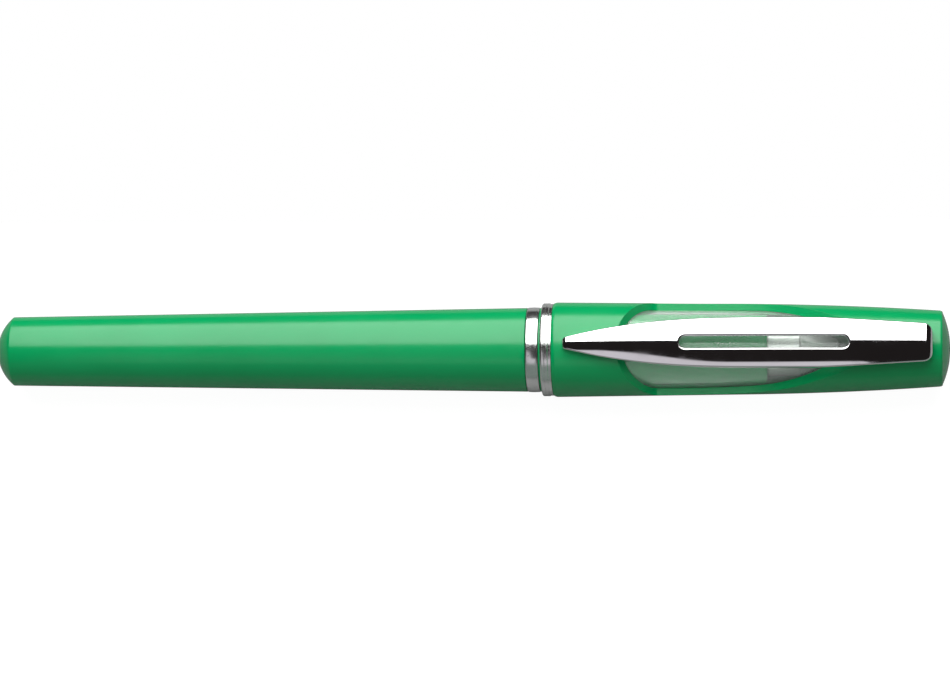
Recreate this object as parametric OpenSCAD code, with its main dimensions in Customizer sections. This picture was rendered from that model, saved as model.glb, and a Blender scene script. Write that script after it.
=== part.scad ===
// Capped rollerball pen with a sculpted cap window, a clear inner cap and an arched clip.
// Millimetres. +X runs along the pen towards the closed end of the cap, +Z points at the clip.
// The origin lies on the pen's axis, in the middle of the centre band.

/* [Barrel] */
// Outer radius of the barrel at its mouth
barrel_front_r = 6.12; // [6:0.02:6.4]
// Outer radius of the barrel at its rear rim
barrel_rear_r = 5.05; // [4.7:0.05:5.8]
// Radius of the dome that closes the barrel
barrel_dome_r = 6.5; // [6:0.5:20]
// Wall at the rear of the barrel
barrel_wall = 1.1; // [0.7:0.05:1.3]
// Distance from the rear rim to the floor inside the barrel
barrel_floor = 1.7; // [1:0.1:3]
// Number of ribs that guide the refill
rib_count = 6; // [3:1:8]
// Thickness of a guide rib
rib_t = 0.7; // [0.5:0.1:1.2]
// Length of the guide ribs
rib_len = 40; // [20:1:50]

/* [Centre band] */
// Length of the chrome centre band
band_len = 1.9; // [1:0.1:3]
// Outer radius of the centre band
band_r = 6.2; // [6.15:0.05:6.5]
// Rounding of the band's edges
band_round = 0.2; // [0.1:0.05:0.4]

/* [Grip section] */
// Length of the section from its flange to its front face
section_len = 32.9; // [31:0.1:38]
// Grip radius where the cap's mouth sits
grip_rear_r = 5.25; // [5.1:0.05:5.3]
// Grip radius at the front
grip_front_r = 5; // [4.6:0.05:5.05]
// Rounding of the section's front edge
grip_round = 0.5; // [0.2:0.1:0.9]
// Thickness of the flange between centre band and cap
flange_t = 0.2; // [0.2:0.05:1]
// Radius of the flange
flange_r = 6.15; // [5.9:0.05:6.3]
// Length of the threaded spigot that enters the barrel
spigot_len = 11; // [8:0.5:14]
// Outer radius of the spigot's thread
spigot_r = 4.6; // [4.4:0.05:4.8]
// Depth of the groove that the cap clicks into
click_depth = 0.2; // [0.1:0.05:0.35]

/* [Nose] */
// Length of the silver collar
collar_len = 4.75; // [3:0.05:7]
// Radius of the silver collar
collar_r = 3.9; // [3.75:0.05:4.3]
// Length of the visible cone
cone_len = 5.35; // [4.5:0.05:6]
// Radius of the cone at its base
cone_base_r = 3.7; // [3.5:0.05:4]
// Radius of the cone at its mouth
cone_tip_r = 1.45; // [1.4:0.05:1.7]
// Radius of the cone's tail inside the collar and the section
tail_r = 2.9; // [2.75:0.05:2.95]
// Length of the tail inside the section
tail_len = 4.4; // [3:0.2:8]

/* [Refill] */
// Overall length of the refill, ball included
refill_len = 110.8; // [106:0.2:112]
// Radius of the refill's body
refill_r = 3.05; // [3.02:0.01:3.15]
// Wall of the refill's tube
refill_wall = 0.35; // [0.2:0.05:0.5]
// Length of the refill's shoulder in front of its tube
shoulder_len = 3.5; // [2:0.25:6]
// Radius of the refill's neck
neck_r = 2.2; // [1.9:0.05:2.25]
// How far the ball stands out of the cone
tip_out = 2; // [1.5:0.1:5]
// Radius of the metal tip
tip_r = 1.15; // [1:0.05:1.2]
// Length of the tip's cylinder between the refill's neck and its own cone
tip_body_len = 2.7; // [2.4:0.1:3]
// Length of the tip's own cone
tip_cone_len = 3.15; // [2.5:0.05:3.4]
// Radius of the writing ball
ball_r = 0.35; // [0.25:0.05:0.4]
// Radius of the wick that feeds the ball
wick_r = 0.5; // [0.35:0.05:0.6]
// Length of the spring between the refill and the barrel's floor
spring_len = 10.7; // [8:0.1:20]
// Wire radius of the spring
wire_r = 0.25; // [0.15:0.05:0.35]
// Turns of the spring
spring_turns = 8; // [5:1:12]

/* [Cap] */
// Distance from the ball to the corner of the cap's closed end
cap_tail_len = 13.2; // [11:0.2:16]
// Largest radius of the cap, just behind its mouth
cap_mouth_r = 6.91; // [6.85:0.03:7.3]
// Radius of the cap where its outline starts to curve in
cap_waist_r = 6.6; // [6.5:0.05:6.9]
// Distance of that place from the cap's corner
cap_curve_len = 28; // [22:0.5:32]
// Radius of the cap at the corner of its closed end
cap_tail_r = 5.5; // [5.2:0.05:5.9]
// Radius of the cap's shallow dome
cap_dome_r = 13; // [8:0.5:30]
// Wall at the closed end of the cap
cap_wall = 0.95; // [0.7:0.05:1.1]
// Rounding of the cap's corner
cap_round = 0.35; // [0.2:0.05:0.6]
// Length of the chrome lip ring
lip_len = 1.65; // [1.4:0.05:2.6]
// Radius of the chrome lip ring
lip_r = 6.78; // [6.7:0.02:6.9]
// Wall of the chrome lip ring
lip_ring_wall = 0.41; // [0.3:0.01:0.45]
// Wall of the clear inner cap
liner_wall = 0.45; // [0.35:0.05:0.5]
// Radius of the soft seal that faces the ball
seal_r = 3; // [2:0.1:3.4]
// Thickness of the soft seal
seal_t = 1.8; // [1:0.1:2]

/* [Cap window] */
// Distance from the shell's mouth to the window's front edge
window_from = 9.3; // [7:0.1:11]
// Height of the window's lowest edge above the pen's axis
window_low_z = 0.2; // [0:0.1:1.5]
// Slope of the window's short front ramp, in degrees
ramp_angle = 51; // [38:0.5:58]
// Radius of the corner at the foot of the ramp
ramp_round = 1.25; // [0.5:0.25:3]
// Length of the level stretch behind the ramp
window_level = 4.6; // [1:0.2:8]
// Steepest slope of the long sweep, in degrees
sweep_angle = 18.8; // [16:0.2:22]
// Radius of the sweep's hollow part
sweep_hollow_r = 46.5; // [40:0.5:50]
// Length of the straight stretch between hollow and crown
sweep_straight = 2.75; // [1:0.25:5]
// Radius of the sweep's crowned part
sweep_crown_r = 51; // [45:0.5:60]

/* [Clip] */
// Distance from the mouth of the cap's shell to the clip's tip
clip_from = 1.6; // [0.6:0.05:6]
// Distance from the clip's root end to the cap's corner
clip_inset = 1.45; // [1.2:0.05:2.5]
// Width of the clip at its widest
clip_w = 7.3; // [7:0.1:9]
// Distance from the clip's root end to where it starts to narrow towards the root
clip_wide_from = 16; // [14:0.5:22]
// Length of the stretch where the clip keeps its full width
clip_wide_len = 8.5; // [4:0.5:12]
// Width of the clip at its tip
clip_tip_w = 1.5; // [1.2:0.1:2]
// Width of the clip at its root
clip_root_w = 5.4; // [5:0.1:6.5]
// Thickness of the clip
clip_t = 1; // [0.8:0.05:1.2]
// Height of the clip's crest above the pen's axis
clip_crest = 8.95; // [8.8:0.05:9.6]
// Distance from the clip's root end to its crest
clip_crest_from = 26; // [22:0.5:32]
// Radius of the clip's arched back
clip_back_r = 392; // [340:2:600]
// Length of the opening in the clip
slot_len = 24.25; // [18:0.05:28]
// Width of the opening in the clip
slot_w = 1.7; // [1.2:0.1:2.4]
// Distance from the clip's root end to the opening
slot_from = 12.1; // [11:0.05:16]
// Length of the clip's foot on the shell
foot_len = 4.8; // [4.4:0.1:5.4]
// Width of the tab that enters the shell
tab_w = 2.5; // [1.8:0.1:3.2]
// Thickness of that tab
tab_t = 1; // [0.7:0.05:1.1]

/* [Clearances] */
// Gap between pieces of different bodies that turn or slide on each other
run_gap = 0.05; // [0.03:0.01:0.07]
// Gap between pieces that are pressed or glued together
seat_gap = 0.02; // [0.01:0.01:0.03]
// Gap between the grip and the inner cap
cap_gap = 0.12; // [0.1:0.01:0.2]
// Gap round the refill inside section and barrel
refill_gap = 0.1; // [0.05:0.01:0.12]
// Gap between the writing ball and its socket
ball_gap = 0.03; // [0.02:0.01:0.05]
// Gap round the clip's tab, which lets the clip lift
tab_gap = 0.3; // [0.25:0.05:0.4]
// Gap in front of the ball in the closed cap
ball_room = 0.4; // [0.2:0.1:1]

/* [Hidden] */
// Places along the axis, from the barrel's rear to the end of the cap
band_front_x = band_len / 2;
band_rear_x = -band_len / 2;
barrel_mouth_x = band_rear_x - run_gap;
spigot_end_x = band_rear_x - spigot_len;
flange_x = band_front_x + run_gap;
lip_x = flange_x + flange_t + run_gap;
mouth_x = lip_x + lip_len + seat_gap;
section_front_x = flange_x + flange_t + section_len;
ledge_x = section_front_x - tail_len;
collar_x = section_front_x + seat_gap;
cone_x = collar_x + collar_len + seat_gap;
cone_mouth_x = cone_x + cone_len;
tip_x = cone_mouth_x + tip_out;
refill_rear_x = tip_x - refill_len;
floor_x = refill_rear_x - spring_len;
rim_x = floor_x - barrel_floor;
corner_x = tip_x + cap_tail_len;
seal_x = tip_x + ball_room;
liner_end_x = seal_x + seal_t + seat_gap + liner_wall;
clip_end_x = corner_x - clip_inset;
clip_tip_x = mouth_x + clip_from;
foot_x = clip_end_x - foot_len;

// The barrel's bores: a step behind the thread, then a tapered bore with ribs round the refill
thread_bore_r = spigot_r + run_gap;
thread_room = 1;
bore_step = 0.15;
rib_r = refill_r + refill_gap;

// The click: a split ring in the cap's mouth whose bead drops into a groove of the section
lip_wall = 0.5;
lip_gap = 0.3;
lip_bore_r = grip_rear_r + lip_gap;
click_x = lip_x + lip_wall + run_gap;
click_len = 2;
click_wall = 0.33;
bead_w = 0.5;
bead_slope = 0.1;
click_split = 0.8;
grip_x = click_x + click_len + run_gap;

// The nose
nose_bore_r = neck_r + refill_gap;
collar_chamfer = 0.15;
cone_bore_len = 1.3;

// The refill: plug and nose reach plug_in into the tube, and the wick reaches wick_in further
shoulder_x = ledge_x - run_gap;
tube_front_x = shoulder_x - shoulder_len;
plug_in = 3;
plug_flange = 0.7;
reservoir_gap = 0.5;
neck_front_x = tip_x - tip_cone_len - tip_body_len;
neck_chamfer = 0.8;
tip_tail_len = 2;
tip_tail_wall = 0.2;
wick_gap = 0.04;
wick_in = 4;
wick_rear_x = tube_front_x - plug_in - wick_in;
ball_x = tip_x - ball_r;
socket_lip = 0.35;

// The cap's shell and liner
shell_spigot_r = lip_r - lip_ring_wall - seat_gap;
shell_edge_r = 1.2;
shell_edge_angle = 30;
end_wall = 1.5;
cap_bore_end_x = corner_x - end_wall;
cap_curve_x = corner_x - cap_curve_len;
window_top = cap_mouth_r + 3;
seal_seat_len = 1.2;
seal_seat_wall = 0.4;
retainer_lead = 1;
retainer_x = foot_x - retainer_lead;
retainer_core_r = 2.2;

// The clip
clip_pad_len = 2.4;
clip_pad_rise = 2.4;
clip_tip_share = 0.75;
clip_tip_corner = 0.45;
clip_rear_round = 1.1;
clip_corner = 1.3;
clip_crest_x = clip_end_x - clip_crest_from;
clip_point_x = clip_tip_x + clip_tip_corner;
clip_wide_to_x = clip_end_x - clip_wide_from;
clip_wide_from_x = clip_wide_to_x - clip_wide_len;
clip_swell = 2.6;
clip_narrowing = 1.1;
foot_round = 1.6;
hook_t = 0.7;
hook_len = 0.8;
tab_inset = 0.6;
tab_x = foot_x + tab_inset;
tab_root = 0.4;
hook_z = 3;

$fn = 96;
over = 1;

green = [0, 0.57, 0.31];
chrome = [0.86, 0.87, 0.9];
silver = [0.75, 0.75, 0.76];

// Points on an arc, both ends included
function arc(centre, r, from, to, steps = 8) =
    [for (i = [0:steps])
        let (a = from + (to - from) * i / steps)
        centre + r * [cos(a), sin(a)]];

// Value that runs in a straight line from a at x0 to b at x1
function line(x, x0, a, x1, b) = a + (b - a) * (x - x0) / (x1 - x0);

// Radius of the grip, of the cap's outline and of the cap's bore at x
function grip_r(x) = line(x, grip_x, grip_rear_r, section_front_x, grip_front_r);
function cap_line(x) = line(x, mouth_x, cap_mouth_r, cap_curve_x, cap_waist_r);
function cap_curve(x) = pow(max(0, (x - cap_curve_x) / cap_curve_len), 2);
function cap_r(x) = cap_line(x) - (cap_line(corner_x) - cap_tail_r) * cap_curve(x);
function liner_stack() = cap_gap + liner_wall + seat_gap;
function cap_bore_r(x) =
    x < section_front_x
        ? grip_r(x) + liner_stack()
        : line(x, section_front_x, grip_front_r + liner_stack(),
               cap_bore_end_x, cap_r(cap_bore_end_x) - cap_wall);

// Turns a profile drawn as [radius, x] about the pen's axis
module turned() {
    rotate([0, 90, 0])
        rotate_extrude()
            children();
}

// Extrudes a side view drawn as [x, z] to both sides of the pen
module across(width) {
    rotate([90, 0, 0])
        linear_extrude(height = width, center = true)
            children();
}

module barrel_outline() {
    dome_h = sqrt(pow(barrel_dome_r, 2) - pow(barrel_rear_r, 2));
    dome_edge = -90 + asin(barrel_rear_r / barrel_dome_r);
    polygon(concat(
        arc([0, rim_x + dome_h], barrel_dome_r, -90, dome_edge, 12),
        [[barrel_front_r, barrel_mouth_x], [0, barrel_mouth_x]]));
}

module barrel_bore() {
    thread_end_x = spigot_end_x - thread_room;
    polygon([
        [0, floor_x],
        [barrel_rear_r - barrel_wall, floor_x],
        [thread_bore_r - bore_step, thread_end_x],
        [thread_bore_r, thread_end_x],
        [thread_bore_r, barrel_mouth_x + over],
        [0, barrel_mouth_x + over]]);
}

module barrel_ribs() {
    for (i = [0:rib_count - 1])
        rotate([i * 360 / rib_count, 0, 0])
            translate([floor_x - over, -rib_t / 2, rib_r])
                cube([rib_len + over, rib_t, barrel_front_r]);
}

module barrel() {
    color(green)
        difference() {
            turned() barrel_outline();
            difference() {
                turned() barrel_bore();
                barrel_ribs();
            }
        }
}

module centre_band() {
    color(chrome)
        turned()
            polygon(concat(
                [[thread_bore_r, band_front_x], [thread_bore_r, band_rear_x]],
                arc([band_r - band_round, band_rear_x + band_round], band_round, -90, 0, 4),
                arc([band_r - band_round, band_front_x - band_round], band_round, 0, 90, 4)));
}

// Compression spring: closed end turns, open turns between, wire as an eight-sided tube
module refill_spring() {
    sides = 8;
    per_turn = 14;
    rings = spring_turns * per_turn;
    coil_r = rib_r - wire_r - refill_gap;
    rear = floor_x + wire_r + seat_gap;
    front = refill_rear_x - wire_r - run_gap;
    closed = 2.2 * wire_r;
    open = (front - rear - 2 * closed) / (spring_turns - 2);
    function coil_x(turn) =
        turn < 1 ? rear + closed * turn
        : turn > spring_turns - 1 ? front - closed * (spring_turns - turn)
        : rear + closed + open * (turn - 1);
    points = [
        for (i = [0:rings], k = [0:sides - 1])
            let (turn = i / per_turn, a = 360 * turn, b = 360 * k / sides,
                 r = coil_r + wire_r * cos(b))
            [coil_x(turn) + wire_r * sin(b), r * cos(a), r * sin(a)]];
    skin = [
        for (i = [0:rings - 1], k = [0:sides - 1])
            let (n = (k + 1) % sides)
            [i * sides + k, (i + 1) * sides + k, (i + 1) * sides + n, i * sides + n]];
    start = [for (k = [0:sides - 1]) k];
    end = [for (k = [sides - 1:-1:0]) rings * sides + k];
    color(silver)
        polyhedron(points = points, faces = concat(skin, [start, end]));
}

module grip_section() {
    chamfer = 0.3;
    click_mid_x = click_x + click_len / 2;
    groove_r = grip_rear_r - click_depth;
    color(green)
        turned()
            polygon(concat(
                [[rib_r, spigot_end_x],
                 [spigot_r - chamfer, spigot_end_x],
                 [spigot_r, spigot_end_x + chamfer],
                 [spigot_r, flange_x],
                 [flange_r, flange_x],
                 [flange_r, flange_x + flange_t],
                 [grip_rear_r, flange_x + flange_t],
                 [grip_rear_r, click_mid_x - bead_w],
                 [groove_r, click_mid_x - bead_w + bead_slope],
                 [groove_r, click_mid_x + bead_w - bead_slope],
                 [grip_rear_r, click_mid_x + bead_w],
                 [grip_rear_r, grip_x]],
                arc([grip_front_r - grip_round, section_front_x - grip_round], grip_round, 0, 90, 6),
                [[tail_r + seat_gap, section_front_x],
                 [tail_r + seat_gap, ledge_x],
                 [rib_r, ledge_x]]));
}

module nose_collar() {
    collar_end_x = collar_x + collar_len;
    color(silver)
        turned()
            polygon([
                [tail_r + seat_gap, collar_x],
                [collar_r - collar_chamfer, collar_x],
                [collar_r, collar_x + collar_chamfer],
                [collar_r, collar_end_x - collar_chamfer],
                [collar_r - collar_chamfer, collar_end_x],
                [tail_r + seat_gap, collar_end_x]]);
}

module nose_cone() {
    cone_edge = 0.2;
    mouth_r = tip_r + run_gap;
    color(silver)
        turned()
            polygon([
                [nose_bore_r, ledge_x + seat_gap],
                [tail_r, ledge_x + seat_gap],
                [tail_r, cone_x],
                [cone_base_r - cone_edge / 2, cone_x],
                [cone_base_r, cone_x + cone_edge],
                [cone_tip_r + cone_edge / 4, cone_mouth_x - cone_edge / 2],
                [cone_tip_r, cone_mouth_x],
                [mouth_r, cone_mouth_x],
                [mouth_r, cone_mouth_x - cone_bore_len],
                [nose_bore_r, neck_front_x - neck_chamfer + refill_gap]]);
}

module refill_tube() {
    rear_x = refill_rear_x + plug_flange + seat_gap;
    bore_r = refill_r - refill_wall;
    color("whitesmoke")
        turned()
            polygon([
                [bore_r, rear_x],
                [refill_r, rear_x],
                [refill_r, tube_front_x - seat_gap],
                [bore_r, tube_front_x - seat_gap]]);
}

module refill_plug() {
    stem_r = refill_r - refill_wall - seat_gap;
    vent_r = 0.3;
    color("black")
        turned()
            polygon([
                [vent_r, refill_rear_x],
                [refill_r, refill_rear_x],
                [refill_r, refill_rear_x + plug_flange],
                [stem_r, refill_rear_x + plug_flange],
                [stem_r, refill_rear_x + plug_in],
                [vent_r, refill_rear_x + plug_in]]);
}

module ink_reservoir() {
    reservoir_r = refill_r - refill_wall - seat_gap;
    rear_x = refill_rear_x + plug_in + reservoir_gap;
    front_x = tube_front_x - plug_in - reservoir_gap;
    color("royalblue")
        turned()
            polygon([
                [0, rear_x],
                [reservoir_r, rear_x],
                [reservoir_r, front_x],
                [wick_r + wick_gap, front_x],
                [wick_r + wick_gap, wick_rear_x - wick_gap],
                [0, wick_rear_x - wick_gap]]);
}

module feed_wick() {
    point_len = 1;
    point_r = wick_r / 2;
    front_x = ball_x - ball_r - ball_gap - wick_gap;
    color("navy")
        turned()
            polygon([
                [0, wick_rear_x],
                [wick_r, wick_rear_x],
                [wick_r, front_x - point_len],
                [point_r, front_x],
                [0, front_x]]);
}

module refill_nose() {
    stem_r = refill_r - refill_wall - seat_gap;
    tail_bore_r = tip_r - tip_tail_wall;
    tail_bore_x = neck_front_x - tip_tail_len - seat_gap;
    color("black")
        turned()
            polygon([
                [wick_r + wick_gap, tube_front_x - plug_in],
                [stem_r, tube_front_x - plug_in],
                [stem_r, tube_front_x],
                [refill_r, tube_front_x],
                [refill_r, shoulder_x],
                [neck_r, shoulder_x],
                [neck_r, neck_front_x - seat_gap - neck_chamfer],
                [neck_r - neck_chamfer, neck_front_x - seat_gap],
                [tail_bore_r + seat_gap, neck_front_x - seat_gap],
                [tail_bore_r + seat_gap, tail_bore_x],
                [wick_r + wick_gap, tail_bore_x]]);
}

// Metal tip: the ball sits in a round socket whose lip reaches past the ball's middle
module tip_socket() {
    tail_r = tip_r - tip_tail_wall;
    lip_front_x = ball_x + socket_lip * ball_r;
    lip_edge = 0.1;
    lip_front_r = ball_r + lip_edge;
    throat_r = 0.7 * ball_r;
    bore_r = wick_r + wick_gap;
    socket_depth = 1.2;
    color(silver)
        turned()
            difference() {
                polygon([
                    [0, neck_front_x - tip_tail_len],
                    [tail_r, neck_front_x - tip_tail_len],
                    [tail_r, neck_front_x],
                    [tip_r, neck_front_x],
                    [tip_r, tip_x - tip_cone_len],
                    [lip_front_r, lip_front_x],
                    [0, lip_front_x]]);
                polygon([
                    [0, neck_front_x - tip_tail_len - over],
                    [bore_r, neck_front_x - tip_tail_len - over],
                    [bore_r, ball_x - socket_depth],
                    [throat_r, ball_x - ball_r],
                    [throat_r, ball_x],
                    [0, ball_x]]);
                translate([0, ball_x])
                    circle(r = ball_r + ball_gap);
            }
}

module writing_ball() {
    color(chrome)
        translate([ball_x, 0, 0])
            sphere(r = ball_r);
}

module cap_outline() {
    steps = 14;
    corner_r = cap_tail_r - cap_round;
    dome_h = sqrt(pow(cap_dome_r, 2) - pow(corner_r, 2));
    dome_edge = asin(corner_r / cap_dome_r);
    edge_x = mouth_x + shell_edge_r * sin(shell_edge_angle);
    polygon(concat(
        [[0, lip_x + lip_wall + seat_gap],
         [shell_spigot_r, lip_x + lip_wall + seat_gap],
         [shell_spigot_r, mouth_x]],
        arc([cap_mouth_r - shell_edge_r, edge_x], shell_edge_r, -shell_edge_angle, 0, 4),
        [for (i = [0:steps])
            let (x = cap_curve_x + (cap_curve_len - cap_round) * i / steps)
            [cap_r(x), x]],
        arc([corner_r, corner_x - cap_round], cap_round, 0, 90, 4),
        arc([0, corner_x - dome_h], cap_dome_r, 90 - dome_edge, 90, 8)));
}

module cap_bore() {
    polygon([
        [0, lip_x],
        [cap_bore_r(grip_x), lip_x],
        [cap_bore_r(grip_x), grip_x],
        [cap_bore_r(section_front_x), section_front_x],
        [cap_bore_r(cap_bore_end_x), cap_bore_end_x],
        [0, cap_bore_end_x]]);
}

// Side view of what the window takes away: a short ramp, a corner, then a long S-shaped sweep
module window_side() {
    top_x = mouth_x + window_from;
    ramp_run = (cap_r(top_x) - window_low_z) / tan(ramp_angle);
    ramp_foot_x = top_x + ramp_run;
    round_cut = ramp_round * tan(ramp_angle / 2);
    hollow_x = ramp_foot_x + round_cut + window_level;
    hollow_end = [hollow_x + sweep_hollow_r * sin(sweep_angle),
                  window_low_z + sweep_hollow_r * (1 - cos(sweep_angle))];
    crown_start = hollow_end + sweep_straight * [cos(sweep_angle), sin(sweep_angle)];
    crown_end_angle = 4;
    polygon(concat(
        [[top_x - (window_top - cap_r(top_x)) / tan(ramp_angle), window_top]],
        arc([ramp_foot_x + round_cut, window_low_z + ramp_round], ramp_round,
            270 - ramp_angle, 270, 6),
        arc([hollow_x, window_low_z + sweep_hollow_r], sweep_hollow_r, 270, 270 + sweep_angle, 12),
        arc(crown_start + sweep_crown_r * [sin(sweep_angle), -cos(sweep_angle)], sweep_crown_r,
            90 + sweep_angle, 90 + crown_end_angle, 12),
        [crown_start + sweep_crown_r * [sin(sweep_angle), 0] + [0, window_top]]));
}

// Hole in the shell for the clip's hook
module hook_hole() {
    translate([tab_x - tab_gap, -tab_w / 2 - tab_gap, hook_z - tab_gap])
        cube([tab_t + hook_len + 2 * tab_gap, tab_w + 2 * tab_gap, cap_mouth_r]);
}

module cap_shell() {
    color(green)
        difference() {
            turned() cap_outline();
            turned() cap_bore();
            across(3 * cap_mouth_r) window_side();
            hook_hole();
        }
}

module inner_cap() {
    function out_r(x) = cap_bore_r(x) - seat_gap;
    function in_r(x) = out_r(x) - liner_wall;
    inside_end_x = liner_end_x - liner_wall;
    seat_x = inside_end_x - seal_seat_len;
    seat_r = seal_r + seat_gap;
    color("honeydew", 0.5)
        turned()
            polygon([
                [in_r(grip_x), grip_x],
                [out_r(grip_x), grip_x],
                [out_r(section_front_x), section_front_x],
                [out_r(liner_end_x), liner_end_x],
                [0, liner_end_x],
                [0, inside_end_x],
                [seat_r, inside_end_x],
                [seat_r, seat_x],
                [seat_r + seal_seat_wall, seat_x],
                [seat_r + seal_seat_wall, inside_end_x],
                [in_r(inside_end_x), inside_end_x],
                [in_r(section_front_x), section_front_x]]);
}

module tip_seal() {
    chamfer = 0.3;
    color("gainsboro")
        turned()
            polygon([
                [0, seal_x],
                [seal_r - chamfer, seal_x],
                [seal_r, seal_x + chamfer],
                [seal_r, seal_x + seal_t],
                [0, seal_x + seal_t]]);
}

// Chrome ring on the cap's lip: a rounded front, a broad band and a narrow lower rim behind it
module cap_ring() {
    edge = 0.25;
    rim_len = 0.5;
    rim_step = 0.08;
    rim_front_x = lip_x + lip_len - rim_len;
    color(chrome)
        turned()
            polygon(concat(
                [[shell_spigot_r + seat_gap, lip_x + lip_len],
                 [shell_spigot_r + seat_gap, lip_x + lip_wall],
                 [lip_bore_r, lip_x + lip_wall],
                 [lip_bore_r, lip_x]],
                arc([lip_r - edge, lip_x + edge], edge, -90, 0, 4),
                [[lip_r, rim_front_x - rim_step],
                 [lip_r - rim_step, rim_front_x],
                 [lip_r - rim_step, lip_x + lip_len - rim_step],
                 [lip_r - 2 * rim_step, lip_x + lip_len]]));
}

module click_ring() {
    out_r = cap_bore_r(grip_x) - run_gap;
    in_r = out_r - click_wall;
    bead_r = grip_rear_r + run_gap;
    mid_x = click_x + click_len / 2;
    bead_half = bead_w / 2 - bead_slope;
    color(silver)
        difference() {
            turned()
                polygon([
                    [in_r, click_x],
                    [out_r, click_x],
                    [out_r, click_x + click_len],
                    [in_r, click_x + click_len],
                    [in_r, mid_x + bead_half + bead_slope],
                    [bead_r, mid_x + bead_half],
                    [bead_r, mid_x - bead_half],
                    [in_r, mid_x - bead_half - bead_slope]]);
            translate([click_x - over, -click_split / 2, -2 * out_r])
                cube([click_len + 2 * over, click_split, 2 * out_r]);
        }
}

// Long profile of the clip: an arched back, a pad at the tip and a foot that follows the shell
module clip_side() {
    steps = 16;
    pad_r = cap_r(clip_tip_x) + run_gap;
    pad_end_x = clip_tip_x + clip_pad_len;
    under_x = pad_end_x + clip_pad_rise;
    tip_round = clip_tip_share * (back(clip_tip_x) - pad_r);
    front_x = clip_tip_x + tip_round;
    rear_x = clip_end_x - clip_rear_round;
    hollow_x = foot_x - foot_round;
    hollow_r = back(hollow_x) - clip_t;
    function back(x) = clip_crest - pow(x - clip_crest_x, 2) / (2 * clip_back_r);
    polygon(concat(
        [[pad_r, clip_tip_x]],
        arc([back(front_x) - tip_round, front_x], tip_round, -90, -10, 6),
        [for (i = [0:steps])
            let (x = line(i, 0, front_x, steps, rear_x))
            [back(x), x]],
        arc([back(rear_x) - clip_rear_round, rear_x], clip_rear_round, 0, 90, 8),
        [for (i = [0:4])
            let (x = line(i, 0, clip_end_x, 4, foot_x))
            [cap_r(x) + run_gap, x]],
        [for (i = [0:steps])
            let (x = line(i, 0, hollow_x, steps, under_x))
            [back(x) - clip_t, x]],
        [[pad_r, pad_end_x]]));
}

// Half width of the clip at x: it swells quickly from the tip and narrows slowly to the root
function clip_half_w(x) =
    x < clip_wide_from_x
        ? clip_w / 2 - (clip_w - clip_tip_w) / 2
            * pow((clip_wide_from_x - x) / (clip_wide_from_x - clip_tip_x), clip_swell)
        : clip_w / 2 - (clip_w - clip_root_w) / 2
            * pow(max(0, x - clip_wide_to_x) / (clip_end_x - clip_wide_to_x), clip_narrowing);

// One side of the clip's outline from above, from the tip to the root
function clip_edge() = concat(
    arc([clip_point_x, clip_half_w(clip_point_x) - clip_tip_corner], clip_tip_corner, 180, 100, 4),
    [for (i = [0:16])
        let (x = line(i, 0, clip_point_x, 16, clip_wide_from_x))
        [x, clip_half_w(x)]],
    [for (i = [0:10])
        let (x = line(i, 0, clip_wide_to_x, 10, clip_end_x - clip_corner))
        [x, clip_half_w(x)]],
    arc([clip_end_x - clip_corner, clip_half_w(clip_end_x) - clip_corner], clip_corner, 80, 0, 5));

module clip_plan() {
    edge = clip_edge();
    slot_rear_x = clip_end_x - slot_from - slot_w / 2;
    slot_front_x = slot_rear_x - slot_len + slot_w;
    difference() {
        polygon(concat(
            edge,
            [for (i = [len(edge) - 1:-1:0]) [edge[i].x, -edge[i].y]]));
        translate([slot_front_x, -slot_w / 2])
            square([slot_rear_x - slot_front_x, slot_w]);
        for (x = [slot_front_x, slot_rear_x])
            translate([x, 0])
                circle(d = slot_w);
    }
}

// Room that the clip's tab and hook take below the foot, widened by gap on every side
module hook_space(gap) {
    translate([tab_x - gap, -tab_w / 2 - gap, hook_z - gap])
        cube([tab_t + 2 * gap, tab_w + 2 * gap, cap_r(foot_x) + tab_root - hook_z + gap]);
    translate([tab_x - gap, -tab_w / 2 - gap, hook_z - gap])
        cube([tab_t + hook_len + 2 * gap, tab_w + 2 * gap, hook_t + 2 * gap]);
}

module clip() {
    color(chrome) {
        intersection() {
            turned() clip_side();
            linear_extrude(height = 2 * clip_crest) clip_plan();
        }
        hook_space(0);
    }
}

module clip_retainer() {
    function out_r(x) = cap_bore_r(x) - seat_gap;
    end_x = cap_bore_end_x - seat_gap;
    floor_t = 1.5;
    color("darkgreen")
        difference() {
            turned()
                polygon([
                    [0, retainer_x],
                    [out_r(retainer_x), retainer_x],
                    [out_r(end_x), end_x],
                    [retainer_core_r, end_x],
                    [retainer_core_r, retainer_x + floor_t],
                    [0, retainer_x + floor_t]]);
            hook_space(tab_gap);
        }
}

barrel();
centre_band();
refill_spring();
grip_section();
nose_collar();
nose_cone();
refill_tube();
refill_plug();
ink_reservoir();
feed_wick();
refill_nose();
tip_socket();
writing_ball();
cap_shell();
inner_cap();
tip_seal();
cap_ring();
click_ring();
clip();
clip_retainer();
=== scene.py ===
"""Capped rollerball pen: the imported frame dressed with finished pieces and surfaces."""

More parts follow.
